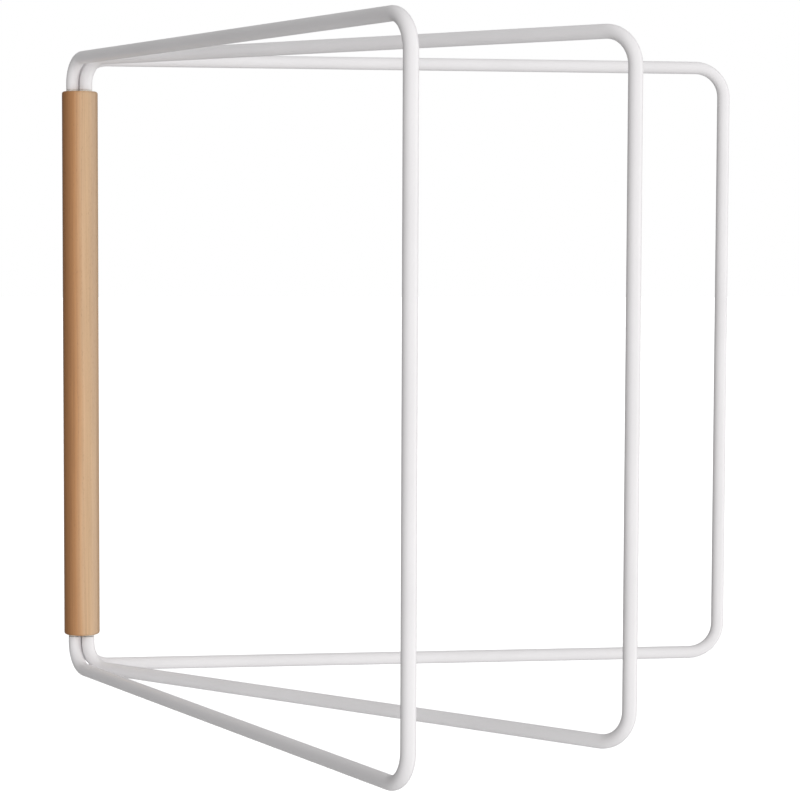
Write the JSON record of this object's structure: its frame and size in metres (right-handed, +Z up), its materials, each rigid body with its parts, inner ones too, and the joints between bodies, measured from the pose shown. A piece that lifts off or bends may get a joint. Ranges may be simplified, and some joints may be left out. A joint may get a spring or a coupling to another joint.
{
  "type": "wall mounted swing arm drying rack",
  "caption": "Wall drying rack: an upright round wooden bar with white tube frames hinged in its ends, each swinging sideways like a gate.",
  "frame": {"origin": "on the flat back of the wooden bar, where it meets the wall, at the bar's mid-height", "axes": "+X along the wall to the right seen from the room, +Y into the wall, +Z up along the bar"},
  "size_m": [0.542, 0.5027, 0.491],
  "materials": {
    "light_wood": "clear satin lacquer",
    "white_powder_coat": "satin powder coat",
    "pin_steel": "turned bright steel",
    "nylon": "natural nylon",
    "zinc_plated_steel": "bright zinc plate",
    "screw_steel": "zinc plated"
  },
  "bodies": {
    "bar": {"wooden_bar": "light_wood", "bush_far_top": "nylon", "bush_far_bottom": "nylon", "bush_middle_top": "nylon", "bush_middle_bottom": "nylon", "bush_near_top": "nylon", "bush_near_bottom": "nylon", "hanger_plate_top": "zinc_plated_steel", "hanger_plate_bottom": "zinc_plated_steel", "hanger_screws": "screw_steel"},
    "far_frame": {"frame_far": "white_powder_coat", "hinge_pin_far_top": "pin_steel", "hinge_pin_far_bottom": "pin_steel"},
    "middle_frame": {"frame_middle": "white_powder_coat", "hinge_pin_middle_top": "pin_steel", "hinge_pin_middle_bottom": "pin_steel"},
    "near_frame": {"frame_near": "white_powder_coat", "hinge_pin_near_top": "pin_steel", "hinge_pin_near_bottom": "pin_steel"}
  },
  "joints": [
    {"name": "far_frame_swing", "type": "hinge", "parent": "bar", "child": "far_frame", "pos_m": [0.00104, -0.00609, 0], "axis": [0, 0, 1], "range_deg": [-15, 0]},
    {"name": "middle_frame_swing", "type": "hinge", "parent": "bar", "child": "middle_frame", "pos_m": [0.0046, -0.01586, 0], "axis": [0, 0, 1], "range_deg": [-6.2, 17.8]},
    {"name": "near_frame_swing", "type": "hinge", "parent": "bar", "child": "near_frame", "pos_m": [-0.00564, -0.01405, 0], "axis": [0, 0, 1], "range_deg": [-112.1, 4.1]}
  ]
}
